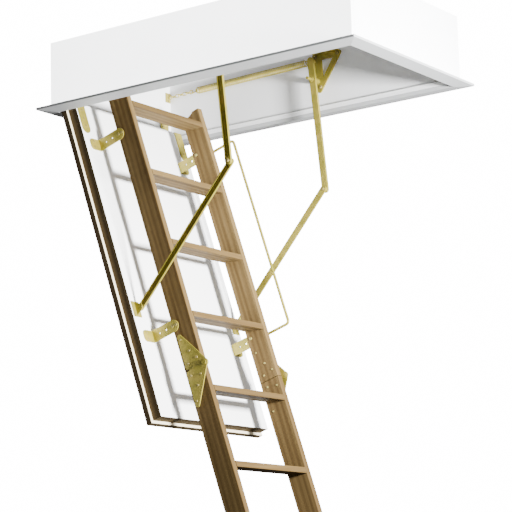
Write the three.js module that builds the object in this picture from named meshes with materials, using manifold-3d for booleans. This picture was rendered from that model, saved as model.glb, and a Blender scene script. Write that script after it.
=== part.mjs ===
// Folding attic ladder: ceiling frame, insulated hatch, three ladder sections, arms and springs.
// Millimetres, +Z up. X runs from the hinge end to the latch end, Y across, Z = 0 is the ceiling.
import * as THREE from "three";
import { ConvexGeometry } from "three/addons/geometries/ConvexGeometry.js";
import { mergeVertices } from "three/addons/utils/BufferGeometryUtils.js";
import ManifoldModule from "manifold-3d";

const wasm = await ManifoldModule();
wasm.setup();
const { Manifold, Mesh: ManifoldMesh } = wasm;

// ---- driving dimensions ----
const GAP = 0.3; // clearance between pieces that touch
const OPENING_X0 = 27;
const OPENING_X1 = 1238;
const OPENING_HALF_Y = 318;
const LINING_THICK = 18;
const LINING_HEIGHT = 235;
const TRIM_X0 = -26;
const TRIM_X1 = 1288;
const TRIM_HALF_Y = 375;
const TRIM_OUTER_THICK = 8;
const TRIM_INNER_THICK = 14;

const HINGE_X = 42.4;
const HINGE_Z = 4;
const OPEN_ANGLE = THREE.MathUtils.degToRad(72.4);
const SIN_OPEN = Math.sin(OPEN_ANGLE);
const COS_OPEN = Math.cos(OPEN_ANGLE);
const HATCH_HINGE_Y = 276;

// hatch, in its own frame: x along the hatch from the hinge axis, z off the outer face
const COVER_X0 = -8;
const COVER_X1 = 1191.6;
const COVER_HALF_Y = 311;
const COVER_Z0 = -12;
const COVER_Z1 = 9;
const PANEL_X0 = 3;
const PANEL_X1 = 1182;
const PANEL_HALF_Y = 300;
const PANEL_Z1 = 45;
const NOTCH_X = 8;
const NOTCH_HALF_Y = 27;

// ladder, in the hatch frame
const STRINGER_IN = 200;
const STRINGER_OUT = 223.5;
const REAR_Z = 130;
const FRONT_Z = 210;
const STRINGER_ROUND = 3;
const FOLD_OFFSET = 10;
const FOLD_1_X = 1057;
const FOLD_2_X = 2104;
const SECTION_SLIT = 1;
const RISE = 255;
const FIRST_TREAD_Z = 11.2;
const TREAD_COUNT = 11;
const TREAD_THICK = 20;
const TREAD_INSET = 2;
const GROOVE_DEPTH = 1.5;
const GROOVE_WIDTH = 4;
const FLOOR_Z = FIRST_TREAD_Z - RISE * TREAD_COUNT;
const FOOT_SOLE = 6;
const FOOT_HEIGHT = 46;

// arms, in the world frame for the frame pivot and the elbow, in the hatch frame for the hatch pivot
const ARM_PIVOT = [692, 107];
const ELBOW = [729, -296];
const HATCH_PIVOT = [794, 63];
const UPPER_ARM_Y = [279, 289];
const LOWER_ARM_Y = [268, 276];
const ARM_TAIL = 80;
const SPRING_Y = 300;
const SPRING_RADIUS = 13;
const CHAIN_START = [42, 165];
const CHAIN_LINKS = 5;
const CHAIN_PITCH = 17.4;
const CHAIN_FIRST_LINK = 13;
const SPRING_START = [138.2, 168];

// ---- materials ----
function finish(color, roughness, metalness) {
  return new THREE.MeshStandardMaterial({ color, roughness, metalness });
}
const FINISHES = {
  pine: () => finish(0xb98e62, 0.55, 0),
  white: () => finish(0xf1f0ec, 0.45, 0),
  grey: () => finish(0xcfd0d0, 0.5, 0),
  cover: () => finish(0xdcd0b6, 0.6, 0),
  zinc: () => finish(0xc9ad5c, 0.35, 0.9),
  steel: () => finish(0xb9b89a, 0.35, 0.9),
  rubber: () => finish(0x2b2b2b, 0.85, 0),
};

// ---- solids ----
function toSolid(geometry) {
  const bare = geometry.clone();
  bare.deleteAttribute("normal");
  bare.deleteAttribute("uv");
  const merged = mergeVertices(bare, 1e-4);
  return new Manifold(
    new ManifoldMesh({
      numProp: 3,
      vertProperties: new Float32Array(merged.attributes.position.array),
      triVerts: new Uint32Array(merged.index.array),
    })
  );
}

function toGeometry(solid) {
  const data = solid.getMesh();
  const geometry = new THREE.BufferGeometry();
  geometry.setAttribute("position", new THREE.BufferAttribute(new Float32Array(data.vertProperties), 3));
  geometry.setIndex(new THREE.BufferAttribute(new Uint32Array(data.triVerts), 1));
  geometry.computeVertexNormals();
  return geometry;
}

function block(x0, x1, y0, y1, z0, z1) {
  const geometry = new THREE.BoxGeometry(x1 - x0, y1 - y0, z1 - z0);
  geometry.translate((x0 + x1) / 2, (y0 + y1) / 2, (z0 + z1) / 2);
  return toSolid(geometry);
}

// a cylinder along Y through (x, z)
function pin(x, z, radius, y0, y1, segments = 20) {
  const geometry = new THREE.CylinderGeometry(radius, radius, Math.abs(y1 - y0), segments);
  return toSolid(geometry).translate([x, (y0 + y1) / 2, z]);
}

// a cylinder along X through (y, z)
function rodAlongX(x0, x1, y, z, radius, segments) {
  const geometry = new THREE.CylinderGeometry(radius, radius, x1 - x0, segments);
  geometry.rotateZ(Math.PI / 2);
  geometry.translate((x0 + x1) / 2, y, z);
  return toSolid(geometry);
}

// an outline of [x, y] points, given thickness along Z
function plate(points, z0, z1) {
  const shape = new THREE.Shape(points.map(([x, y]) => new THREE.Vector2(x, y)));
  const geometry = new THREE.ExtrudeGeometry(shape, { depth: z1 - z0, bevelEnabled: false });
  geometry.translate(0, 0, z0);
  return toSolid(geometry);
}

// an outline of [x, z] points, given thickness along Y
function prism(points, y0, y1) {
  const shape = new THREE.Shape(points.map(([x, z]) => new THREE.Vector2(x, z)));
  const geometry = new THREE.ExtrudeGeometry(shape, { depth: y1 - y0, bevelEnabled: false });
  const basis = new THREE.Matrix4().makeBasis(
    new THREE.Vector3(1, 0, 0),
    new THREE.Vector3(0, 0, 1),
    new THREE.Vector3(0, -1, 0)
  );
  geometry.applyMatrix4(basis);
  geometry.translate(0, y1, 0);
  return toSolid(geometry);
}

// how far point c lies to the left of the line from a to b
function leftOf(a, b, c) {
  return (b[0] - a[0]) * (c[1] - a[1]) - (b[1] - a[1]) * (c[0] - a[0]);
}

// one half of the convex outline round points sorted along X
function convexHalf(points) {
  const chain = [];
  for (const point of points) {
    while (chain.length > 1 && leftOf(chain.at(-2), chain.at(-1), point) <= 1e-6) {
      chain.pop();
    }
    chain.push(point);
  }
  return chain.slice(0, -1);
}

// the convex outline round any points in a plane
function convexOutline(points) {
  const sorted = [...points].sort((a, b) => a[0] - b[0] || a[1] - b[1]);
  return [...convexHalf(sorted), ...convexHalf([...sorted].reverse())];
}

function discPoints([x, z, radius], segments) {
  return arcPoints(x, z, radius, 0, Math.PI * 2, segments).slice(0, segments);
}

// the hull round discs [x, z, radius], given thickness along Y
function hullPlate(discs, y0, y1, segments = 20) {
  return prism(convexOutline(discs.flatMap((disc) => discPoints(disc, segments))), y0, y1);
}

// a board along X with rounded long edges
function board(x0, x1, y0, y1, z0, z1, round) {
  const width = y1 - y0;
  const height = z1 - z0;
  const shape = new THREE.Shape();
  shape.moveTo(round, 0);
  shape.lineTo(width - round, 0);
  shape.absarc(width - round, round, round, -Math.PI / 2, 0, false);
  shape.lineTo(width, height - round);
  shape.absarc(width - round, height - round, round, 0, Math.PI / 2, false);
  shape.lineTo(round, height);
  shape.absarc(round, height - round, round, Math.PI / 2, Math.PI, false);
  shape.lineTo(0, round);
  shape.absarc(round, round, round, Math.PI, Math.PI * 1.5, false);
  const geometry = new THREE.ExtrudeGeometry(shape, { depth: x1 - x0, bevelEnabled: false, curveSegments: 3 });
  const basis = new THREE.Matrix4().makeBasis(
    new THREE.Vector3(0, 1, 0),
    new THREE.Vector3(0, 0, 1),
    new THREE.Vector3(1, 0, 0)
  );
  geometry.applyMatrix4(basis);
  geometry.translate(x0, y0, z0);
  return toSolid(geometry);
}

// a round rod along a route in the XZ plane at y = 0
function rod(route, radius, segments = 10) {
  const positions = [];
  const index = [];
  const last = route.length - 1;
  for (let i = 0; i <= last; i++) {
    const before = route[Math.max(i - 1, 0)];
    const after = route[Math.min(i + 1, last)];
    const along = new THREE.Vector2(after[0] - before[0], after[1] - before[1]).normalize();
    for (let k = 0; k < segments; k++) {
      const turn = (k / segments) * Math.PI * 2;
      const side = Math.cos(turn) * radius;
      positions.push(route[i][0] - along.y * side, Math.sin(turn) * radius, route[i][1] + along.x * side);
    }
  }
  for (let i = 0; i < last; i++) {
    for (let k = 0; k < segments; k++) {
      const a = i * segments + k;
      const b = i * segments + ((k + 1) % segments);
      index.push(a, a + segments, b, b, a + segments, b + segments);
    }
  }
  const end = last * segments;
  for (let k = 1; k < segments - 1; k++) {
    index.push(0, k, k + 1);
    index.push(end, end + k + 1, end + k);
  }
  const geometry = new THREE.BufferGeometry();
  geometry.setAttribute("position", new THREE.BufferAttribute(new Float32Array(positions), 3));
  geometry.setIndex(index);
  const solid = toSolid(geometry);
  return solid;
}

function arcPoints(cx, cz, radius, from, to, steps) {
  return Array.from({ length: steps + 1 }, (_, i) => {
    const a = from + ((to - from) * i) / steps;
    return [cx + Math.cos(a) * radius, cz + Math.sin(a) * radius];
  });
}

function mirrored(solid, side) {
  return side === "far" ? solid : solid.mirror([0, 1, 0]);
}

function add(parent, name, solid, kind) {
  const mesh = new THREE.Mesh(toGeometry(solid), FINISHES[kind]());
  mesh.name = name;
  parent.add(mesh);
  return mesh;
}

// ---- ceiling frame ----
function trimSide(outerA, outerB, innerA, innerB) {
  const corners = [
    [outerA, 0],
    [outerB, 0],
    [outerA, -TRIM_OUTER_THICK],
    [outerB, -TRIM_OUTER_THICK],
    [innerA, 0],
    [innerB, 0],
    [innerA, -TRIM_INNER_THICK],
    [innerB, -TRIM_INNER_THICK],
  ];
  const strip = new ConvexGeometry(corners.map(([[x, y], z]) => new THREE.Vector3(x, y, z)));
  return toSolid(strip).subtract(liningRebate());
}

// the shallow step that the lining boards stand on
function liningRebate() {
  const x0 = OPENING_X0 - LINING_THICK - GAP;
  const x1 = OPENING_X1 + LINING_THICK + GAP;
  const y = OPENING_HALF_Y + LINING_THICK + GAP;
  return block(x0, x1, -y, y, -GAP, 1);
}

function addTrim(parent) {
  const g = GAP / 2;
  const out = { x0: TRIM_X0, x1: TRIM_X1, y: TRIM_HALF_Y };
  const inn = { x0: OPENING_X0, x1: OPENING_X1, y: OPENING_HALF_Y };
  const hingeEnd = trimSide([out.x0, -out.y + g], [out.x0, out.y - g], [inn.x0, -inn.y + g], [inn.x0, inn.y - g]);
  const latchEnd = trimSide([out.x1, -out.y + g], [out.x1, out.y - g], [inn.x1, -inn.y + g], [inn.x1, inn.y - g]);
  const far = trimSide([out.x0 + g, out.y], [out.x1 - g, out.y], [inn.x0 + g, inn.y], [inn.x1 - g, inn.y]);
  add(parent, "trim_hinge_end", hingeEnd, "grey");
  add(parent, "trim_latch_end", latchEnd, "grey");
  add(parent, "trim_far", far, "grey");
  add(parent, "trim_near", mirrored(far, "near"), "grey");
}

function addLinings(parent) {
  const z0 = 0;
  const z1 = LINING_HEIGHT;
  const x0 = OPENING_X0 - LINING_THICK;
  const x1 = OPENING_X1 + LINING_THICK;
  const y = OPENING_HALF_Y;
  add(parent, "lining_hinge_end", block(x0, OPENING_X0, -y + GAP, y - GAP, z0, z1), "white");
  add(parent, "lining_latch_end", block(OPENING_X1, x1, -y + GAP, y - GAP, z0, z1), "white");
  const side = block(x0, x1, y, y + LINING_THICK, z0, z1);
  add(parent, "lining_far", side, "white");
  add(parent, "lining_near", mirrored(side, "near"), "white");
}

function frameHingeLeaf() {
  const faceX = OPENING_X0 + GAP;
  const wall = block(faceX, faceX + 3, -23, 23, HINGE_Z - 1.5, HINGE_Z + 58);
  const flange = block(faceX, HINGE_X, -23, 23, HINGE_Z - 1.5, HINGE_Z + 1.5);
  const barrel = pin(HINGE_X, HINGE_Z, 5.5, -23, 23);
  const bore = pin(HINGE_X, HINGE_Z, 3.1, -24, 24);
  const middle = block(HINGE_X - 8.2, HINGE_X + 10, -8.5, 8.5, HINGE_Z - 8, HINGE_Z + 8);
  return wall.add(flange).add(barrel).subtract(bore).subtract(middle);
}

function armBracket() {
  const outer = OPENING_HALF_Y - GAP;
  const inner = outer - 5;
  const base = hullPlate([[682, 199, 10], [784, 199, 10], [700, 74, 10]], inner, outer);
  const hole = hullPlate([[714, 182, 2], [756, 182, 2], [718, 124, 2]], inner - 1, outer + 1);
  const lip = block(682, 784, inner - 16, inner + 1, 204, 209);
  const sleeve = pin(...ARM_PIVOT, 10, UPPER_ARM_Y[1] + 0.6, inner + 1);
  const bolt = pin(...ARM_PIVOT, 5.5, 246, inner);
  const head = pin(...ARM_PIVOT, 9.5, UPPER_ARM_Y[0] - 10, UPPER_ARM_Y[0] - 2, 6);
  return base.subtract(hole).add(lip).add(sleeve).add(bolt).add(head);
}

// ---- springs and chains ----
function chainLink(x, z, flat) {
  const half = 5;
  const bend = 5.2;
  const right = arcPoints(half, 0, bend, -Math.PI / 2, Math.PI / 2, 6);
  const left = arcPoints(-half, 0, bend, Math.PI / 2, Math.PI * 1.5, 6);
  const route = [...right, ...left];
  const curve = new THREE.CatmullRomCurve3(route.map(([a, b]) => new THREE.Vector3(a, 0, b)), true);
  const points = curve.getSpacedPoints(20).slice(0, 20);
  const ring = closedRod(points.map((p) => [p.x, p.z]), 1.75, 6);
  return (flat ? ring.rotate([90, 0, 0]) : ring).translate([x, 0, z]);
}

// a closed round rod along a closed route in the XZ plane
function closedRod(route, radius, segments) {
  const positions = [];
  const index = [];
  const count = route.length;
  for (let i = 0; i < count; i++) {
    const before = route[(i + count - 1) % count];
    const after = route[(i + 1) % count];
    const along = new THREE.Vector2(after[0] - before[0], after[1] - before[1]).normalize();
    for (let k = 0; k < segments; k++) {
      const turn = (k / segments) * Math.PI * 2;
      const side = Math.cos(turn) * radius;
      positions.push(route[i][0] - along.y * side, Math.sin(turn) * radius, route[i][1] + along.x * side);
    }
  }
  for (let i = 0; i < count; i++) {
    for (let k = 0; k < segments; k++) {
      const a = i * segments + k;
      const b = i * segments + ((k + 1) % segments);
      const c = ((i + 1) % count) * segments + k;
      const d = ((i + 1) % count) * segments + ((k + 1) % segments);
      index.push(a, c, b, b, c, d);
    }
  }
  const geometry = new THREE.BufferGeometry();
  geometry.setAttribute("position", new THREE.BufferAttribute(new Float32Array(positions), 3));
  geometry.setIndex(index);
  return toSolid(geometry);
}

function chainHook() {
  const [x0, z0] = CHAIN_START;
  const faceX = OPENING_X0 + GAP;
  const base = block(faceX, faceX + 3, -14, 14, z0 - 18, z0 + 18);
  const neck = rodAlongX(faceX + 2, x0 - 6, 0, z0, 2.5, 12);
  const ring = closedRod(circlePoints(6.5), 1.75, 6).translate([x0, 0, z0]);
  return base.add(neck).add(ring).translate([0, SPRING_Y, 0]);
}

function circlePoints(radius) {
  return arcPoints(0, 0, radius, 0, Math.PI * 2, 16).slice(0, 16);
}

function springChain() {
  const [x0, z0] = CHAIN_START;
  const first = CHAIN_FIRST_LINK;
  const slope = (SPRING_START[1] - z0) / (SPRING_START[0] - x0);
  let chain = chainLink(x0 + first, z0 + slope * first, true);
  for (let i = 1; i < CHAIN_LINKS; i++) {
    const along = first + i * CHAIN_PITCH;
    chain = chain.add(chainLink(x0 + along, z0 + slope * along, i % 2 === 0));
  }
  return chain.translate([0, SPRING_Y, 0]);
}

function springEnd() {
  const along = new THREE.Vector2(ARM_PIVOT[0] - ELBOW[0], ARM_PIVOT[1] - ELBOW[1]).normalize();
  return [ARM_PIVOT[0] + along.x * (ARM_TAIL - 8), ARM_PIVOT[1] + along.y * (ARM_TAIL - 8)];
}

function spring() {
  const [x1, z1] = springEnd();
  const [x0, z0] = SPRING_START;
  const length = Math.hypot(x1 - x0, z1 - z0);
  const bodyEnd = 22;
  const bodyLength = length - 2 * bodyEnd;
  const ribs = 26;
  const profile = [new THREE.Vector2(0, 0)];
  for (let i = 0; i < ribs; i++) {
    const at = (bodyLength * i) / ribs;
    const step = bodyLength / ribs;
    profile.push(new THREE.Vector2(SPRING_RADIUS - 2, at));
    profile.push(new THREE.Vector2(SPRING_RADIUS, at + step * 0.5));
  }
  profile.push(new THREE.Vector2(SPRING_RADIUS - 2, bodyLength));
  profile.push(new THREE.Vector2(0, bodyLength));
  const coil = toSolid(new THREE.LatheGeometry(profile, 14)).rotate([0, 0, -90]);
  const body = coil.translate([bodyEnd, 0, 0]);
  const eye = closedRod(circlePoints(7), 1.75, 6);
  const shankA = rodAlongX(6, bodyEnd + 2, 0, 0, 1.75, 8);
  const shankB = shankA.translate([length - bodyEnd - 8, 0, 0]);
  const whole = body.add(eye).add(eye.translate([length, 0, 0])).add(shankA).add(shankB);
  const tilt = THREE.MathUtils.radToDeg(Math.atan2(z1 - z0, x1 - x0));
  return whole.rotate([0, -tilt, 0]).translate([x0, SPRING_Y, z0]);
}

// ---- arms ----
function channel(ax, az, bx, bz, radius, y0, y1) {
  const bar = hullPlate([[ax, az, radius], [bx, bz, radius]], y0, y1, 24);
  const length = Math.hypot(bx - ax, bz - az);
  const ux = (bx - ax) / length;
  const uz = (bz - az) / length;
  const wall = 2.5;
  const keep = radius + 10;
  const pocket = hullPlate(
    [
      [ax + ux * keep, az + uz * keep, radius - wall],
      [bx - ux * keep, bz - uz * keep, radius - wall],
    ],
    y0 + wall,
    y1 + 1,
    24
  );
  return bar.subtract(pocket);
}

function upperArm() {
  const [tailX, tailZ] = springEnd();
  const [y0, y1] = UPPER_ARM_Y;
  const bar = channel(tailX, tailZ, ...ELBOW, 12, y0, y1);
  const hub = pin(...ARM_PIVOT, 13, y0, y1);
  const bore = pin(...ARM_PIVOT, 5.9, y0 - 5, y1 + 5);
  const elbowBoss = pin(...ELBOW, 10, LOWER_ARM_Y[1] + 0.6, y0 + 1);
  const springBolt = pin(tailX, tailZ, 4, y1 - 1, SPRING_Y + 8);
  return bar.add(hub).add(elbowBoss).add(springBolt).subtract(bore);
}

function hatchToWorld([x, z]) {
  return [HINGE_X + x * COS_OPEN + z * SIN_OPEN, HINGE_Z - x * SIN_OPEN + z * COS_OPEN];
}

function lowerArm() {
  const q = hatchToWorld(HATCH_PIVOT);
  const [y0, y1] = LOWER_ARM_Y;
  const bar = channel(...q, ...ELBOW, 11, y0, y1);
  return bar.subtract(pin(...q, 5.4, y0 - 5, y1 + 5));
}

// ---- hatch ----
function hingeNotches() {
  const notch = block(COVER_X0 - 5, NOTCH_X, -NOTCH_HALF_Y, NOTCH_HALF_Y, COVER_Z0 - 5, PANEL_Z1 + 5);
  return notch.translate([0, HATCH_HINGE_Y, 0]).add(notch.translate([0, -HATCH_HINGE_Y, 0]));
}

function coverPlate() {
  const cover = block(COVER_X0, COVER_X1, -COVER_HALF_Y, COVER_HALF_Y, COVER_Z0, COVER_Z1);
  return cover.subtract(hingeNotches());
}

function insulatedPanel() {
  const panel = block(PANEL_X0, PANEL_X1, -PANEL_HALF_Y, PANEL_HALF_Y, COVER_Z1 + GAP, PANEL_Z1);
  return panel.subtract(hingeNotches());
}

function hatchHingeLeaf() {
  const z = PANEL_Z1 + GAP;
  const strap = block(NOTCH_X - 4, 100, -20, 20, z, z + 3);
  const tip = plate(discPoints([100, 0, 20], 24), z, z + 3);
  const web = block(NOTCH_X - 4, NOTCH_X - 1, -20, 20, 8, z + 3);
  const tongue = block(NOTCH_X - 4, NOTCH_X - 1, -8, 8, -2, 9);
  const arm = block(0, NOTCH_X - 1, -8, 8, -2, 2);
  const knuckle = pin(0, 0, 5.5, -8, 8);
  const shaft = pin(0, 0, 2.7, -25, 25, 16);
  return strap.add(tip).add(web).add(tongue).add(arm).add(knuckle).add(shaft);
}

function ladderBracket(x) {
  const y0 = STRINGER_OUT + GAP;
  const z0 = PANEL_Z1 + GAP;
  const half = 21;
  const round = 14;
  const footY = 275;
  const corners = [x - half + round, x + half - round].flatMap((at) => discPoints([at, footY - round, round], 28));
  const foot = plate(convexOutline([[x - half, y0], [x + half, y0], ...corners]), z0, z0 + 4);
  const webEnd = discPoints([x, 137, half], 28);
  const web = prism(convexOutline([[x - half, z0], [x + half, z0], ...webEnd]), y0, y0 + 4);
  const holes = pin(x, 78, 3.5, y0 - 1, y0 + 5, 14).add(pin(x, 106, 3.5, y0 - 1, y0 + 5, 14));
  return foot.add(web).subtract(holes);
}

function hatchArmBracket() {
  const [x, z] = HATCH_PIVOT;
  const z0 = PANEL_Z1 + GAP;
  const foot = block(x - 28, x + 28, 258, 296, z0, z0 + 3);
  const earY = LOWER_ARM_Y[1] + 1.4;
  const earOutline = convexOutline([[x - 24, z0], [x + 24, z0], ...discPoints([x, z, 13], 24)]);
  const ear = prism(earOutline, earY, earY + 4);
  const bolt = pin(x, z, 5, LOWER_ARM_Y[0] - 8, earY + 1, 16);
  return foot.add(ear).add(bolt);
}

// ---- ladder ----
function treadX(k) {
  return (HINGE_Z - (FIRST_TREAD_Z - RISE * k) + FRONT_Z * COS_OPEN) / SIN_OPEN;
}

function tread(k) {
  const x = treadX(k);
  const depth = (FRONT_Z - REAR_Z - TREAD_INSET) / SIN_OPEN;
  const back = (distance) => [x - distance * COS_OPEN, FRONT_Z - distance * SIN_OPEN];
  const sunk = ([px, pz]) => [px + GROOVE_DEPTH * SIN_OPEN, pz - GROOVE_DEPTH * COS_OPEN];
  const points = [back(0)];
  for (const centre of [16, 30, 44, 58]) {
    const a = centre - GROOVE_WIDTH / 2;
    const b = centre + GROOVE_WIDTH / 2;
    points.push(back(a), sunk(back(a)), sunk(back(b)), back(b));
  }
  const rear = back(depth);
  const drop = TREAD_THICK / SIN_OPEN;
  points.push(rear, [rear[0] + drop, rear[1]], [x + drop, FRONT_Z]);
  return prism(points, -STRINGER_IN + GAP, STRINGER_IN - GAP);
}

function stringer(x0, x1) {
  return board(x0, x1, STRINGER_IN, STRINGER_OUT, REAR_Z, FRONT_Z, STRINGER_ROUND);
}

// the top end is scooped out, which leaves a horn at the front edge
function topStringer() {
  const scoop = pin(-34, REAR_Z + 22, 46, STRINGER_IN - 2, STRINGER_OUT + 2, 40);
  return stringer(0, FOLD_1_X - SECTION_SLIT).subtract(scoop);
}

function xAtHeight(worldZ, z) {
  return (HINGE_Z - worldZ + z * COS_OPEN) / SIN_OPEN;
}

// everything above a level floor cut, in the hatch frame
function aboveLevel(worldZ, y0, y1, z0, z1, x0) {
  return prism([[x0, z0], [xAtHeight(worldZ, z0), z0], [xAtHeight(worldZ, z1), z1], [x0, z1]], y0, y1);
}

function lowestStringer() {
  const x0 = FOLD_2_X + SECTION_SLIT;
  const whole = stringer(x0, xAtHeight(FLOOR_Z, FRONT_Z) + 10);
  const keep = aboveLevel(FLOOR_Z + FOOT_SOLE + GAP, STRINGER_IN - 5, STRINGER_OUT + 5, REAR_Z - 5, FRONT_Z + 5, x0 - 5);
  return whole.intersect(keep);
}

function foot() {
  const y0 = STRINGER_IN - 4;
  const y1 = STRINGER_OUT + 4;
  const z0 = REAR_Z - 4;
  const z1 = FRONT_Z + 4;
  const start = xAtHeight(FLOOR_Z + FOOT_HEIGHT, (z0 + z1) / 2);
  const shell = aboveLevel(FLOOR_Z, y0, y1, z0, z1, start);
  const x0 = start - 10;
  const room = aboveLevel(
    FLOOR_Z + FOOT_SOLE,
    STRINGER_IN - GAP,
    STRINGER_OUT + GAP,
    REAR_Z - GAP,
    FRONT_Z + GAP,
    x0
  );
  return shell.subtract(room);
}

// the plate that carries the fold pin (upper), or the one that turns on it (lower)
function foldPlate(foldX, pivotZ, toward, along, carriesPin) {
  const y0 = STRINGER_OUT + GAP + (carriesPin ? 0 : 4.4);
  const y1 = y0 + 4;
  const deep = pivotZ + toward * 72;
  const discs = [[foldX, pivotZ, 12], [foldX + along * 12, deep, 8], [foldX + along * 122, deep, 8]];
  const base = hullPlate(discs, y0, y1, 24);
  if (carriesPin) {
    const shaft = pin(foldX, pivotZ, 5, y0 + 1, y0 + 9.4, 16);
    const head = pin(foldX, pivotZ, 8.5, y0 + 9, y0 + 12, 18);
    return base.add(shaft).add(head);
  }
  const bore = pin(foldX, pivotZ, 5.5, y0 - 1, y1 + 1, 16);
  const stops = [[42, 44], [96, 66]].map(([dx, dz]) =>
    pin(foldX + along * dx, pivotZ + toward * dz, 7, STRINGER_OUT + GAP, y0 + 1, 14)
  );
  return base.subtract(bore).add(stops[0]).add(stops[1]);
}

function handrail() {
  const x0 = 169;
  const x1 = 892;
  const reach = FRONT_Z + 83;
  const rootZ = 172;
  const bend = 12;
  const route = [
    [x0, rootZ],
    [x0, rootZ + 40],
    ...arcPoints(x0 + bend, reach - bend, bend, Math.PI, Math.PI / 2, 6),
    ...arcPoints(x1 - bend, reach - bend, bend, Math.PI / 2, 0, 6),
    [x1, rootZ + 40],
    [x1, rootZ],
  ];
  let rail = rod(route, 5, 12).translate([0, STRINGER_OUT + 10, 0]);
  for (const x of [x0, x1]) {
    for (const z of [rootZ + 8, rootZ + 28]) {
      rail = rail.add(pin(x, z, 6.5, STRINGER_OUT + GAP, STRINGER_OUT + 9, 14));
    }
  }
  return rail;
}

function addSection(parent, number, x0, x1, treads) {
  for (const side of ["near", "far"]) {
    const solid = { 1: topStringer, 2: () => stringer(x0, x1), 3: lowestStringer }[number]();
    add(parent, `stringer_${number}_${side}`, mirrored(solid, side), "pine");
  }
  for (const k of treads) {
    add(parent, `tread_${k + 1}`, tread(k), "pine");
  }
}

// ---- assembly ----
const ladder = new THREE.Group();
ladder.name = "attic_ladder";

const frame = new THREE.Group();
ladder.add(frame);
addTrim(frame);
addLinings(frame);
for (const side of ["near", "far"]) {
  const sign = side === "far" ? 1 : -1;
  add(frame, `frame_hinge_leaf_${side}`, frameHingeLeaf().translate([0, sign * HATCH_HINGE_Y, 0]), "zinc");
  add(frame, `arm_bracket_${side}`, mirrored(armBracket(), side), "zinc");
  add(frame, `chain_hook_${side}`, mirrored(chainHook(), side), "steel");
  add(frame, `spring_chain_${side}`, mirrored(springChain(), side), "steel");
  add(frame, `spring_${side}`, mirrored(spring(), side), "steel");
  add(frame, `upper_arm_${side}`, mirrored(upperArm(), side), "zinc");
  add(frame, `lower_arm_${side}`, mirrored(lowerArm(), side), "zinc");
}

const hatch = new THREE.Group();
hatch.position.set(HINGE_X, 0, HINGE_Z);
hatch.rotation.y = OPEN_ANGLE;
ladder.add(hatch);
add(hatch, "hatch_cover", coverPlate(), "cover");
add(hatch, "hatch_panel", insulatedPanel(), "white");
for (const side of ["near", "far"]) {
  const sign = side === "far" ? 1 : -1;
  add(hatch, `hatch_hinge_leaf_${side}`, hatchHingeLeaf().translate([0, sign * HATCH_HINGE_Y, 0]), "zinc");
  add(hatch, `ladder_bracket_top_${side}`, mirrored(ladderBracket(161), side), "zinc");
  add(hatch, `ladder_bracket_low_${side}`, mirrored(ladderBracket(890), side), "zinc");
  add(hatch, `hatch_arm_bracket_${side}`, mirrored(hatchArmBracket(), side), "zinc");
}

addSection(hatch, 1, 0, FOLD_1_X - SECTION_SLIT, [0, 1, 2, 3]);
addSection(hatch, 2, FOLD_1_X + SECTION_SLIT, FOLD_2_X - SECTION_SLIT, [4, 5, 6, 7]);
addSection(hatch, 3, FOLD_2_X + SECTION_SLIT, 0, [8, 9, 10]);
const frontPivot = FRONT_Z + FOLD_OFFSET;
const rearPivot = REAR_Z - FOLD_OFFSET;
for (const side of ["near", "far"]) {
  add(hatch, `fold_1_pin_plate_${side}`, mirrored(foldPlate(FOLD_1_X, frontPivot, -1, -1, true), side), "zinc");
  add(hatch, `fold_1_turn_plate_${side}`, mirrored(foldPlate(FOLD_1_X, frontPivot, -1, 1, false), side), "zinc");
  add(hatch, `fold_2_pin_plate_${side}`, mirrored(foldPlate(FOLD_2_X, rearPivot, 1, -1, true), side), "zinc");
  add(hatch, `fold_2_turn_plate_${side}`, mirrored(foldPlate(FOLD_2_X, rearPivot, 1, 1, false), side), "zinc");
  add(hatch, `foot_${side}`, mirrored(foot(), side), "rubber");
}
add(hatch, "handrail", handrail(), "zinc");

export default ladder;
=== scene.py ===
# Looks for the folding attic ladder: materials, fasteners, coil springs, seals, light and camera.
import math

import bmesh
import bpy
from mathutils import Matrix, Vector


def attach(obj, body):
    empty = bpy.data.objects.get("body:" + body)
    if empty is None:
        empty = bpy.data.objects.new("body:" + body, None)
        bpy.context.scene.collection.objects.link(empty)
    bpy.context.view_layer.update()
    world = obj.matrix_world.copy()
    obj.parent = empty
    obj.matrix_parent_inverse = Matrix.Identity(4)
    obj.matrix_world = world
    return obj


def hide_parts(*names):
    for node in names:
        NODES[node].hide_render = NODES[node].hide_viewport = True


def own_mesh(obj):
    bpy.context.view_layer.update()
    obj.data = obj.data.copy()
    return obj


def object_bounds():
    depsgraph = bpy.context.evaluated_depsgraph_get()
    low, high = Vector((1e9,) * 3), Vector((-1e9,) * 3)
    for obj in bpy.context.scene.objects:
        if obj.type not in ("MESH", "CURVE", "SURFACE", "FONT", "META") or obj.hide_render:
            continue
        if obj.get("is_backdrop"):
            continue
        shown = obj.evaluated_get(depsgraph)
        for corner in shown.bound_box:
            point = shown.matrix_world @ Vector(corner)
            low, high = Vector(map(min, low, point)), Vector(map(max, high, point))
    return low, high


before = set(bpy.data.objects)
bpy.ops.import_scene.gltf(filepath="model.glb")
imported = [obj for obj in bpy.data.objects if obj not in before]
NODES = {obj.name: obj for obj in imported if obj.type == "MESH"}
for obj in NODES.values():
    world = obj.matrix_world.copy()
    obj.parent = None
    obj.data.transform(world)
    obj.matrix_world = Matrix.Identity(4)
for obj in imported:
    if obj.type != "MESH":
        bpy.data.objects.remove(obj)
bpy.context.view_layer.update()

SIDES = (("near", -1), ("far", 1))

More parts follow.
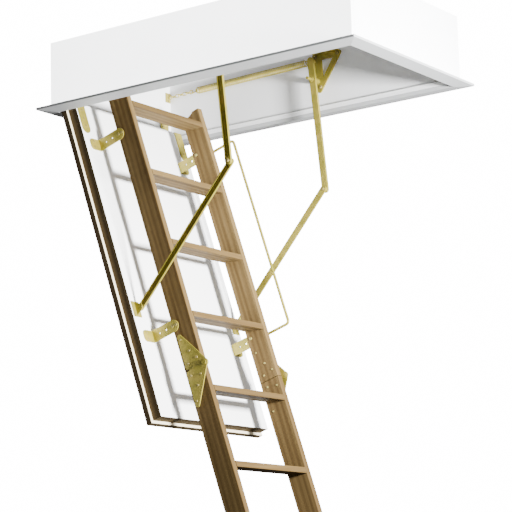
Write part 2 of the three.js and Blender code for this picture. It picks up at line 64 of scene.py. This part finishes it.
# ---- places that repeat the part's own frame, in metres ----
HINGE = Vector((0.0424, 0.0, 0.004))
OPEN_ANGLE = math.radians(72.4)
ALONG = Vector((math.cos(OPEN_ANGLE), 0, -math.sin(OPEN_ANGLE)))
OUTWARD = Vector((math.sin(OPEN_ANGLE), 0, math.cos(OPEN_ANGLE)))
STRINGER_IN = 0.200
STRINGER_OUT = 0.2235
STRINGER_REAR = 0.130
STRINGER_FRONT = 0.210
PANEL_FACE = 0.045
OPENING_START = 0.027
OPENING_END = 1.238
OPENING_HALF = 0.318

# Each fold: its place along the hatch, its pivot's height, and the way from the pivot to the stringer.
PIVOT_OUT = 0.010
FOLDS = ((1.057, STRINGER_FRONT + PIVOT_OUT, -1), (2.104, STRINGER_REAR - PIVOT_OUT, 1))

# The four-bar linkage and the springs, in the row frame.
ARM_PIVOT = Vector((0.692, 0, 0.107))
ELBOW = Vector((0.729, 0, -0.296))
CHAIN_ROOT = Vector((0.042, 0, 0.165))
SPRING_START = Vector((0.1382, 0, 0.168))
SPRING_REACH = 0.072
SPRING_Y = 0.300


def hatch_point(x, y, z):
    """A point given along the hatch, across it and off its outer face, in the row frame."""
    return HINGE + ALONG * x + Vector((0, y, 0)) + OUTWARD * z


# ---- materials ----
MIX_FACTOR, MIX_A, MIX_B = 0, 6, 7
MIX_RESULT = 2
SHIFT_PER_OBJECT = 9.0
WHITE = (1, 1, 1, 1)


def srgb(r, g, b):
    """A linear colour from 0-255 display levels."""
    def linear(v):
        v /= 255
        return v / 12.92 if v <= 0.04045 else ((v + 0.055) / 1.055) ** 2.4

    return (linear(r), linear(g), linear(b), 1.0)


class Look:
    """One node material and short calls that add nodes to it."""

    def __init__(self, name, color, roughness, metallic=0.0):
        self.material = bpy.data.materials.new(name)
        self.material.use_nodes = True
        self.tree = self.material.node_tree
        self.shader = self.tree.nodes["Principled BSDF"]
        self.shader.inputs["Base Color"].default_value = color
        self.shader.inputs["Roughness"].default_value = roughness
        self.shader.inputs["Metallic"].default_value = metallic
        self.material.diffuse_color = color

    def node(self, kind, **settings):
        made = self.tree.nodes.new(kind)
        for key, value in settings.items():
            setattr(made, key, value)
        return made

    def link(self, a, b):
        self.tree.links.new(a, b)

    def place(self, scale, tilt=0.0):
        """Object coordinates in metres, turned by tilt about Y, shifted for each object, then scaled."""
        turn = self.node("ShaderNodeMapping")
        turn.inputs["Rotation"].default_value = (0, tilt, 0)
        self.link(self.node("ShaderNodeTexCoord").outputs["Object"], turn.inputs["Vector"])
        shift = self.node("ShaderNodeMath", operation="MULTIPLY")
        shift.inputs[1].default_value = SHIFT_PER_OBJECT
        self.link(self.node("ShaderNodeObjectInfo").outputs["Random"], shift.inputs[0])
        add = self.node("ShaderNodeVectorMath", operation="ADD")
        self.link(turn.outputs["Vector"], add.inputs[0])
        self.link(shift.outputs[0], add.inputs[1])
        size = self.node("ShaderNodeMapping")
        size.inputs["Scale"].default_value = scale
        self.link(add.outputs["Vector"], size.inputs["Vector"])
        return size.outputs["Vector"]

    def noise(self, vector, scale, detail, rough, distortion=0.0):
        made = self.node("ShaderNodeTexNoise")
        made.inputs["Scale"].default_value = scale
        made.inputs["Detail"].default_value = detail
        made.inputs["Roughness"].default_value = rough
        made.inputs["Distortion"].default_value = distortion
        self.link(vector, made.inputs["Vector"])
        return made.outputs["Fac"]

    def ramp(self, fac, stops):
        made = self.node("ShaderNodeValToRGB")
        points = made.color_ramp.elements
        while len(points) < len(stops):
            points.new(0.5)
        for point, (at, color) in zip(points, stops):
            point.position = at
            point.color = color
        self.link(fac, made.inputs["Fac"])
        return made.outputs["Color"]

    def mix(self, fac, a, b, blend="MIX"):
        made = self.node("ShaderNodeMix", data_type="RGBA", blend_type=blend)
        for slot, value in ((MIX_FACTOR, fac), (MIX_A, a), (MIX_B, b)):
            if hasattr(value, "is_linked"):
                self.link(value, made.inputs[slot])
            else:
                made.inputs[slot].default_value = value
        return made.outputs[MIX_RESULT]

    def grade(self, fac, low, high):
        made = self.node("ShaderNodeMapRange")
        made.inputs["To Min"].default_value = low
        made.inputs["To Max"].default_value = high
        self.link(fac, made.inputs["Value"])
        return made.outputs["Result"]

    def bump(self, height, strength, distance, edge_radius):
        """A bump on top of edges that are softened by a small radius."""
        made = self.node("ShaderNodeBump")
        made.inputs["Strength"].default_value = strength
        made.inputs["Distance"].default_value = distance
        soft = self.node("ShaderNodeBevel", samples=4)
        soft.inputs["Radius"].default_value = edge_radius
        self.link(height, made.inputs["Height"])
        self.link(soft.outputs["Normal"], made.inputs["Normal"])
        self.link(made.outputs["Normal"], self.shader.inputs["Normal"])

    def color(self, socket):
        self.link(socket, self.shader.inputs["Base Color"])

    def rough(self, socket):
        self.link(socket, self.shader.inputs["Roughness"])

    def specular(self, level):
        self.shader.inputs["Specular IOR Level"].default_value = level


def wood(name, dark, mid, light, scale):
    """Grain in the ladder's slope: broad rings, wavy bands and fine fibre, all drawn out by scale."""
    look = Look(name, mid, 0.5)
    place = look.place(scale, -OPEN_ANGLE)
    rings = look.noise(place, scale=1.0, detail=3.0, rough=0.5, distortion=0.6)
    bands = look.node("ShaderNodeTexWave", wave_type="BANDS", bands_direction="Z")
    bands.inputs["Scale"].default_value = 0.55
    bands.inputs["Distortion"].default_value = 5.0
    bands.inputs["Detail"].default_value = 3.0
    bands.inputs["Detail Scale"].default_value = 0.8
    look.link(place, bands.inputs["Vector"])
    fibre = look.noise(place, scale=9.0, detail=6.0, rough=0.7)
    body = look.ramp(rings, [(0.28, dark), (0.5, mid), (0.72, light)])
    grain = look.ramp(bands.outputs["Fac"], [(0.0, dark), (0.45, mid), (1.0, light)])
    both = look.mix(0.42, body, grain)
    streak = look.ramp(fibre, [(0.35, (0.72, 0.68, 0.62, 1)), (0.6, WHITE)])
    look.color(look.mix(0.6, both, streak, "MULTIPLY"))
    look.rough(look.grade(fibre, 0.42, 0.62))
    look.bump(fibre, strength=0.25, distance=0.0006, edge_radius=0.0015)
    look.specular(0.01)
    return look


def plated(name, base, olive, blush, roughness):
    """Yellow zinc plating: cloudy between olive and blush, with a thin worn film."""
    look = Look(name, base, roughness, metallic=0.45)
    place = look.place((1, 1, 1))
    cloud = look.noise(place, scale=22.0, detail=4.0, rough=0.6, distortion=0.4)
    film = look.noise(place, scale=60.0, detail=3.0, rough=0.5)
    tint = look.ramp(cloud, [(0.3, olive), (0.5, base), (0.68, blush)])
    worn = look.ramp(film, [(0.35, (0.9, 0.9, 0.88, 1)), (0.65, WHITE)])
    look.color(look.mix(0.5, tint, worn, "MULTIPLY"))
    look.rough(look.grade(cloud, roughness - 0.08, roughness + 0.14))
    look.bump(film, strength=0.03, distance=0.0003, edge_radius=0.0008)
    return look


def painted(name, color, roughness, wear=0.04):
    """Paint or rubber: one colour with faintly darker patches and a fine grain."""
    look = Look(name, color, roughness)
    look.specular(0.05)
    place = look.place((1, 1, 1))
    patch = look.noise(place, scale=3.0, detail=5.0, rough=0.55)
    grainy = look.noise(place, scale=220.0, detail=2.0, rough=0.5)
    worn = tuple(c * (1 - wear) for c in color[:3]) + (1.0,)
    look.color(look.ramp(patch, [(0.3, worn), (0.7, color)]))
    look.rough(look.grade(patch, roughness - 0.05, roughness + 0.08))
    look.bump(grainy, strength=0.05, distance=0.0003, edge_radius=0.001)
    return look


PINE = (srgb(76, 60, 36), srgb(96, 78, 49), srgb(116, 97, 63))
# Real pine drawn darker than the ladder's pine: painted shade for the hatch boards' edges, which stand in
# shadow.
SHADED_EDGE_PINE = (srgb(62, 52, 37), srgb(80, 68, 49), srgb(96, 82, 60))
GRAIN_ALONG = (0.9, 22, 26)
GRAIN_ACROSS = (26, 0.9, 22)
GRAIN_EDGE = (0.9, 18, 24)

stringer_wood = wood("pine_along", *PINE, GRAIN_ALONG)
tread_wood = wood("pine_across", *PINE, GRAIN_ACROSS)
zinc = plated("yellow_zinc", srgb(156, 144, 56), srgb(140, 132, 46), srgb(168, 150, 68), 0.42)
zinc_bolt = plated("yellow_zinc_bolt", srgb(136, 124, 66), srgb(120, 110, 52), srgb(150, 134, 78), 0.42)
spring_steel = plated("spring_wire", srgb(182, 168, 84), srgb(146, 138, 62), srgb(196, 178, 100), 0.36)
lining_paint = painted("lining_paint", srgb(234, 235, 236), 0.5)
trim_paint = painted("trim_paint", srgb(176, 178, 179), 0.42)
rubber = painted("black_rubber", srgb(34, 34, 35), 0.8, wear=0.2)
seal_rubber = painted("grey_seal", srgb(168, 168, 168), 0.7, wear=0.1)


def hatch_board(name, face):
    """Faces in the given colour and edges in pine drawn darker as painted shade: an edge is where the surface
    turns from the board's normal.
    """
    look = wood(name, *SHADED_EDGE_PINE, GRAIN_EDGE)
    shaded_edge_wood = look.shader.inputs["Base Color"].links[0].from_socket
    object_normal = look.node("ShaderNodeVectorTransform", vector_type="NORMAL",
                              convert_from="WORLD", convert_to="OBJECT")
    look.link(look.node("ShaderNodeNewGeometry").outputs["True Normal"], object_normal.inputs["Vector"])
    dot = look.node("ShaderNodeVectorMath", operation="DOT_PRODUCT")
    dot.inputs[1].default_value = OUTWARD
    look.link(object_normal.outputs["Vector"], dot.inputs[0])
    size = look.node("ShaderNodeMath", operation="ABSOLUTE")
    look.link(dot.outputs["Value"], size.inputs[0])
    is_face = look.node("ShaderNodeMath", operation="GREATER_THAN")
    is_face.inputs[1].default_value = 0.7
    look.link(size.outputs[0], is_face.inputs[0])
    look.color(look.mix(is_face.outputs[0], shaded_edge_wood, face))
    return look


# The panel's white faces are its paint; the darker pine on its edges is painted shade.
panel_look = hatch_board("panel_faces_and_edges", srgb(244, 245, 245))
# The cover's cream faces are painted light: its pine as it looks in full light, beside edges in the darker
# pine of painted shade.
cover_lit_and_shaded_look = hatch_board("cover_faces_and_edges", srgb(222, 210, 182))

# Looks by the start of a node's name; every other node is plated metal.
LOOKS = (
    ("trim", trim_paint), ("lining", lining_paint), ("hatch_panel", panel_look), ("hatch_cover", cover_lit_and_shaded_look),
    ("stringer", stringer_wood), ("tread", tread_wood), ("foot", rubber), ("spring", spring_steel),
    ("chain", spring_steel),
)
for name, node in NODES.items():
    chosen = next((look for start, look in LOOKS if name.startswith(start)), zinc)
    for slot in node.material_slots:
        slot.material = chosen.material
    if not node.material_slots:
        node.data.materials.append(chosen.material)


# ---- small pieces ----
HEAD_SINK = 0.0002


def new_piece(name, bm, look, body):
    """Makes an object of a bmesh, with its look and its body."""
    mesh = bpy.data.meshes.new(name)
    bm.to_mesh(mesh)
    bm.free()
    mesh.materials.append(look.material)
    obj = bpy.data.objects.new(name, mesh)
    bpy.context.scene.collection.objects.link(obj)
    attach(obj, body)
    return obj


def lathe_into(bm, profile, base, axis, segments):
    """Turns (radius, height) points round axis from base; the profile starts and ends on the axis."""
    turn = Vector(axis).normalized().to_track_quat("Z", "Y").to_matrix()
    rings = []
    for radius, height in profile:
        if radius == 0:
            rings.append([bm.verts.new(base + turn @ Vector((0, 0, height)))])
            continue
        ring = []
        for k in range(segments):
            a = 2 * math.pi * k / segments
            at = Vector((math.cos(a) * radius, math.sin(a) * radius, height))
            ring.append(bm.verts.new(base + turn @ at))
        rings.append(ring)
    for low, high in zip(rings, rings[1:]):
        for k in range(segments):
            around = (low[k % len(low)], low[(k + 1) % len(low)],
                      high[(k + 1) % len(high)], high[k % len(high)])
            corners = list(dict.fromkeys(around))
            if len(corners) > 2:
                bm.faces.new(corners)


def round_head(bm, base, axis, radius, height):
    profile = [(0, -HEAD_SINK), (radius, -HEAD_SINK), (radius, height * 0.35),
               (radius * 0.82, height * 0.75), (radius * 0.45, height), (0, height)]
    lathe_into(bm, profile, base, axis, 16)


def hex_head(bm, base, axis, radius, height):
    """A six-sided head on a round washer."""
    washer = radius * 1.2
    washer_top = 0.0012
    washer_profile = [(0, -HEAD_SINK), (washer, -HEAD_SINK), (washer, washer_top), (0, washer_top)]
    lathe_into(bm, washer_profile, base, axis, 20)
    start = washer_top - HEAD_SINK
    head_profile = [(0, start), (radius, start), (radius, height * 0.85), (radius * 0.9, height), (0, height)]
    lathe_into(bm, head_profile, base, axis, 6)


def screw_head(bm, base, axis, radius, height):
    """A flat head with a round drive recess."""
    profile = [(0, -HEAD_SINK), (radius, -HEAD_SINK), (radius * 0.9, height - 0.0005),
               (radius * 0.4, height), (radius * 0.3, height - 0.0008), (0, height - 0.0009)]
    lathe_into(bm, profile, base, axis, 14)


HEADS = {"round": round_head, "hex": hex_head, "screw": screw_head}


def fasteners(name, body, items):
    """One mesh of bolt, rivet and screw heads that ride on a body: (head, base, axis)."""
    bm = bmesh.new()
    for (kind, radius, height), base, axis in items:
        HEADS[kind](bm, Vector(base), axis, radius, height)
    return new_piece(name, bm, zinc_bolt, body)


# Heads, as (kind, radius, height).
WEB_BOLT = ("round", 0.0055, 0.003)
WEB_NUT = ("round", 0.006, 0.0035)
PLATE_RIVET = ("round", 0.0042, 0.0025)
PLATE_RIVET_END = ("round", 0.0038, 0.0022)
FRAME_BOLT = ("hex", 0.006, 0.007)
ELBOW_BOLT = ("hex", 0.006, 0.006)
HATCH_SCREW = ("screw", 0.0045, 0.0014)
LEAF_SCREW = ("screw", 0.0042, 0.0014)
HOOK_SCREW = ("screw", 0.004, 0.0014)

# How far the outer face of each metal piece stands off what it is fixed to.
LEAF_FACE = 0.0033
BRACKET_FACE = 0.0043
FRAME_BRACKET_FACE = 0.0053
TURNING_PLATE_FACE = 0.0087
OUTER_PLATE = STRINGER_OUT + BRACKET_FACE
TURNING_PLATE = STRINGER_OUT + TURNING_PLATE_FACE

# Places on the hatch, along it and across it.
LADDER_BRACKET_XS = (0.161, 0.890)
LADDER_BRACKET_FOOT_Y = 0.258
WEB_BOLT_ZS = (0.136, 0.150)
WEB_NUT_Z = 0.146
HINGE_LEAF_XS = (0.030, 0.062, 0.092)
HINGE_LEAF_Y = 0.276
ARM_BRACKET_X = 0.794
ARM_BRACKET_Y = 0.268

# Places on the frame.
HINGE_LEAF_ZS = (0.026, 0.048)
FRAME_BOLTS = ((0.686, 0.196), (0.780, 0.196), (0.706, 0.084))

PLATE_BOLT_OFFSETS = ((0.030, 0.026), (0.062, 0.048), (0.110, 0.070), (0.022, 0.064))
ELBOW_BOLT_Y = 0.2892
ELBOW_NUT_Y = 0.2678


def pair(middle, apart):
    return (middle - apart, middle + apart)


def plate_heads(fold, along, sign, face):
    """Rivets through a fold plate and its stringer, for the plate that lies along one way from the fold."""
    fold_x, pivot_z, toward = FOLDS[fold]
    items = []
    for dx, dz in PLATE_BOLT_OFFSETS:
        x = fold_x + along * dx
        z = pivot_z + toward * dz
        items.append((PLATE_RIVET, hatch_point(x, sign * face, z), (0, sign, 0)))
        items.append((PLATE_RIVET_END, hatch_point(x, sign * STRINGER_IN, z), (0, -sign, 0)))
    return items


def hatch_heads(sign):
    items = []
    for x in LADDER_BRACKET_XS:
        for z in WEB_BOLT_ZS:
            items.append((WEB_BOLT, hatch_point(x, sign * OUTER_PLATE, z), (0, sign, 0)))
        items.append((WEB_NUT, hatch_point(x, sign * STRINGER_IN, WEB_NUT_Z), (0, -sign, 0)))
        for screw_x in pair(x, 0.011):
            base = hatch_point(screw_x, sign * LADDER_BRACKET_FOOT_Y, PANEL_FACE + BRACKET_FACE)
            items.append((HATCH_SCREW, base, OUTWARD))
    items += plate_heads(0, -1, sign, OUTER_PLATE)
    for x in HINGE_LEAF_XS:
        items.append((HATCH_SCREW, hatch_point(x, sign * HINGE_LEAF_Y, PANEL_FACE + LEAF_FACE), OUTWARD))
    for x in pair(ARM_BRACKET_X, 0.018):
        items.append((HATCH_SCREW, hatch_point(x, sign * ARM_BRACKET_Y, PANEL_FACE + LEAF_FACE), OUTWARD))
    return items


def frame_heads(sign):
    end_wall = OPENING_START + LEAF_FACE
    side_wall = OPENING_HALF - FRAME_BRACKET_FACE
    items = []
    for z in HINGE_LEAF_ZS:
        for y in pair(sign * HINGE_LEAF_Y, 0.012):
            items.append((LEAF_SCREW, (end_wall, y, z), (1, 0, 0)))
    for x, z in FRAME_BOLTS:
        items.append((FRAME_BOLT, (x, sign * side_wall, z), (0, -sign, 0)))
    for z in pair(CHAIN_ROOT.z, 0.012):
        items.append((HOOK_SCREW, (end_wall, sign * SPRING_Y, z), (1, 0, 0)))
    return items


def add_fasteners():
    for side, sign in SIDES:
        fasteners(f"hatch_fasteners_{side}", "hatch", hatch_heads(sign))
        both_ends = plate_heads(0, 1, sign, TURNING_PLATE) + plate_heads(1, -1, sign, OUTER_PLATE)
        fasteners(f"section_2_fasteners_{side}", "section_2", both_ends)
        fasteners(f"section_3_fasteners_{side}", "section_3", plate_heads(1, 1, sign, TURNING_PLATE))
        fasteners(f"frame_fasteners_{side}", "ceiling_frame", frame_heads(sign))
    for side, sign in SIDES:
        head = (ELBOW_BOLT, ELBOW + Vector((0, sign * ELBOW_BOLT_Y, 0)), (0, sign, 0))
        fasteners(f"elbow_bolt_{side}", f"upper_arm_{side}", [head])
        nut = (ELBOW_BOLT, ELBOW + Vector((0, sign * ELBOW_NUT_Y, 0)), (0, -sign, 0))
        fasteners(f"elbow_nut_{side}", f"lower_arm_{side}", [nut])


add_fasteners()

# ---- coil springs ----
COIL_RADIUS = 0.0110
COIL_WIRE = 0.0019
COIL_TURNS = 68
COIL_STEPS = 14
COIL_LEAD = 0.024
WIRE_SIDES = 7
HOOK_RADIUS = 0.0068
HOOK_STEPS = 12
HOOK_TURN = 1.9


def hook(centre, axis, up, first):
    """Points of an open ring about centre, from the angle first; angles are in half turns."""
    points = []
    for k in range(HOOK_STEPS + 1):
        a = math.pi * (first - HOOK_TURN * k / HOOK_STEPS)
        points.append(centre + axis * (HOOK_RADIUS * math.cos(a)) + up * (HOOK_RADIUS * math.sin(a)))
    return points


def coil_points(start, end):
    """The centre line of a close-wound coil that narrows at its ends, with a hook at each end."""
    axis = (end - start).normalized()
    across = Vector((0, 1, 0))
    up = axis.cross(across).normalized()
    length = (end - start).length
    total = COIL_TURNS * COIL_STEPS
    coil = []
    for k in range(total + 1):
        a = 2 * math.pi * k / COIL_STEPS
        grow = min(1.0, k / COIL_STEPS * 0.8 + 0.2, (total - k) / COIL_STEPS * 0.8 + 0.2)
        at = COIL_LEAD + (length - 2 * COIL_LEAD) * k / total
        coil.append(start + axis * at + (across * math.cos(a) + up * math.sin(a)) * COIL_RADIUS * grow)
    return hook(start, axis, up, 1.5)[::-1] + coil + hook(end, axis, up, 0.9)


def tube_into(bm, points, radius, sides):
    """A smooth closed tube along points."""
    rings = []
    side = None
    for i, point in enumerate(points):
        along = (points[min(i + 1, len(points) - 1)] - points[max(i - 1, 0)]).normalized()
        if side is None:
            side = along.orthogonal().normalized()
        side = (side - along * side.dot(along)).normalized()
        third = along.cross(side)
        ring = []
        for k in range(sides):
            a = 2 * math.pi * k / sides
            ring.append(bm.verts.new(point + (side * math.cos(a) + third * math.sin(a)) * radius))
        rings.append(ring)
    for a, b in zip(rings, rings[1:]):
        for k in range(sides):
            bm.faces.new((a[k], a[(k + 1) % sides], b[(k + 1) % sides], b[k]))
    bm.faces.new(list(reversed(rings[0])))
    bm.faces.new(rings[-1])
    for face in bm.faces:
        face.smooth = True


spring_end = ARM_PIVOT + (ARM_PIVOT - ELBOW).normalized() * SPRING_REACH
for side, sign in SIDES:
    shift = Vector((0, sign * SPRING_Y, 0))
    coil_bm = bmesh.new()
    tube_into(coil_bm, coil_points(SPRING_START + shift, spring_end + shift), COIL_WIRE, WIRE_SIDES)
    coil = new_piece(f"coil_spring_{side}", coil_bm, spring_steel, f"spring_{side}")
    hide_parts(f"spring_{side}")
    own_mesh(coil)

# ---- seals in the frame ----
SEAL_LOW = 0.0150
SEAL_HIGH = 0.0172
SEAL_DEPTH = 0.005
SEAL_SHORT = 0.03


def add_seal(name, low, high):
    """A box between two corners, on the frame."""
    low = Vector(low)
    size = Vector(high) - low
    bm = bmesh.new()
    bmesh.ops.create_cube(bm, size=1.0)
    for v in bm.verts:
        v.co = Vector((low[i] + (v.co[i] + 0.5) * size[i] for i in range(3)))
    new_piece(name, bm, seal_rubber, "ceiling_frame")


for side, sign in SIDES:
    near_y, far_y = sorted((sign * OPENING_HALF, sign * (OPENING_HALF - SEAL_DEPTH)))
    add_seal(f"seal_{side}", (OPENING_START + SEAL_SHORT, near_y, SEAL_LOW), (OPENING_END, far_y, SEAL_HIGH))
add_seal("seal_latch_end", (OPENING_END - SEAL_DEPTH, -OPENING_HALF, SEAL_LOW),
         (OPENING_END, OPENING_HALF, SEAL_HIGH))

# ---- stage, light, camera ----
FLOOR_SIZE = 60
FLOOR_MIDDLE = 0.6
FLOOR_DROP = 0.003
FLOOR_SUN = 9.0
FLOOR_SUN_ANGLE = math.radians(40)

# Lamps, as (place, target, size, power).
KEY = ((3.6, -0.48, -0.67), (0.35, 0, -0.55), (0.42, 0.42), 200)
KEY_SPREAD = math.radians(90)
BOX_SIDE_LIGHT = ((0.63, -2.2, 0.14), (0.63, -0.34, 0.12), (2.4, 0.6), 270)
BOX_END_LIGHT = ((3.1, 0, 0.14), (1.26, 0, 0.12), (1.6, 0.6), 230)

# World strengths: all round, towards the lit side, and as the camera sees it.
AMBIENT = 0.14
FILL = 0.8
FILL_SIDE = (1, 0.1, -0.2)
FILL_START = math.radians(80)
FILL_END = math.radians(20)
BACKDROP = 16.0

CAMERA_PLACE = Vector((4.5045, -5.4484, -1.8525))
YAW = math.radians(35.446)
PITCH = math.radians(10.947)
ROLL = math.radians(-1.591)
LENS = 141.69
SENSOR = 36
CLIP_END = 60


def add_stage():
    """A pale floor that throws no light back on the ladder."""
    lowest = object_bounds()[0]
    place = (FLOOR_MIDDLE, 0, lowest.z - FLOOR_DROP)
    bpy.ops.mesh.primitive_plane_add(size=FLOOR_SIZE, location=place)
    floor = bpy.context.object
    floor.name = "studio_floor"
    look = Look("studio_floor", srgb(232, 232, 232), 0.8)
    floor.data.materials.append(look.material)
    floor.visible_diffuse = False
    floor.visible_glossy = False
    floor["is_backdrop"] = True
    return floor


def add_lamp(name, data):
    lamp = bpy.data.objects.new(name, data)
    bpy.context.scene.collection.objects.link(lamp)
    return lamp


def add_area(name, place, target, size, power):
    data = bpy.data.lights.new(name, "AREA")
    data.shape = "RECTANGLE"
    data.size, data.size_y = size
    data.energy = power
    lamp = add_lamp(name, data)
    lamp.location = place
    lamp.rotation_euler = (Vector(target) - Vector(place)).to_track_quat("-Z", "Y").to_euler()
    lamp.visible_camera = False
    return lamp


def add_floor_sun():
    """Soft light from straight above."""
    data = bpy.data.lights.new("floor_sun", "SUN")
    data.energy = FLOOR_SUN
    data.angle = FLOOR_SUN_ANGLE
    return add_lamp("floor_sun", data)


def light_only(lamp, pieces):
    """Keeps a lamp's light on the given objects."""
    chosen = bpy.data.collections.new(f"lit_by_{lamp.name}")
    for piece in pieces:
        chosen.objects.link(piece)
    lamp.light_linking.receiver_collection = chosen


def add_lamps(floor):
    """A small key towards +X, a sun for the floor, and two lamps that whiten the linings' outer sides."""
    key = add_area("key", *KEY)
    key.data.spread = KEY_SPREAD
    light_only(add_floor_sun(), [floor])
    light_only(add_area("box_side_light", *BOX_SIDE_LIGHT), [NODES["lining_near"]])
    light_only(add_area("box_end_light", *BOX_END_LIGHT),
               [NODES["lining_latch_end"], NODES["lining_far"], NODES["lining_near"]])


def fill_strength(tree):
    """A strength that rises from AMBIENT to FILL as a direction turns towards the lit side."""
    dot = tree.nodes.new("ShaderNodeVectorMath")
    dot.operation = "DOT_PRODUCT"
    dot.inputs[1].default_value = Vector(FILL_SIDE).normalized()
    tree.links.new(tree.nodes.new("ShaderNodeTexCoord").outputs["Generated"], dot.inputs[0])
    patch = tree.nodes.new("ShaderNodeMapRange")
    patch.interpolation_type = "SMOOTHSTEP"
    patch.inputs["From Min"].default_value = math.cos(FILL_START)
    patch.inputs["From Max"].default_value = math.cos(FILL_END)
    patch.inputs["To Min"].default_value = AMBIENT
    patch.inputs["To Max"].default_value = FILL
    tree.links.new(dot.outputs["Value"], patch.inputs["Value"])
    return patch.outputs["Result"]


def add_world():
    """A dim studio with a softly lit side towards +X, seen against plain white from every side."""
    world = bpy.data.worlds.new("studio")
    bpy.context.scene.world = world
    world.use_nodes = True
    tree = world.node_tree
    back = tree.nodes["Background"]
    back.inputs["Color"].default_value = WHITE
    seen = tree.nodes.new("ShaderNodeLightPath").outputs["Is Camera Ray"]
    strength = tree.nodes.new("ShaderNodeMapRange")
    strength.inputs["To Max"].default_value = BACKDROP
    tree.links.new(seen, strength.inputs["Value"])
    tree.links.new(fill_strength(tree), strength.inputs["To Min"])
    tree.links.new(strength.outputs["Result"], back.inputs["Strength"])


def add_camera():
    """A level look along YAW, raised by PITCH and turned about its own line of sight by ROLL."""
    forward = Vector((-math.sin(YAW) * math.cos(PITCH), math.cos(YAW) * math.cos(PITCH), math.sin(PITCH)))
    right = Vector((math.cos(YAW), math.sin(YAW), 0))
    up = right.cross(forward)
    turned_right = right * math.cos(ROLL) + up * math.sin(ROLL)
    turned_up = up * math.cos(ROLL) - right * math.sin(ROLL)
    data = bpy.data.cameras.new("camera")
    data.sensor_width = SENSOR
    data.lens = LENS
    data.clip_end = CLIP_END
    camera = bpy.data.objects.new("camera", data)
    bpy.context.scene.collection.objects.link(camera)
    basis = Matrix((turned_right, turned_up, -forward)).transposed().to_4x4()
    camera.matrix_world = Matrix.Translation(CAMERA_PLACE) @ basis
    bpy.context.scene.camera = camera


studio_floor = add_stage()
add_world()
add_lamps(studio_floor)
add_camera()
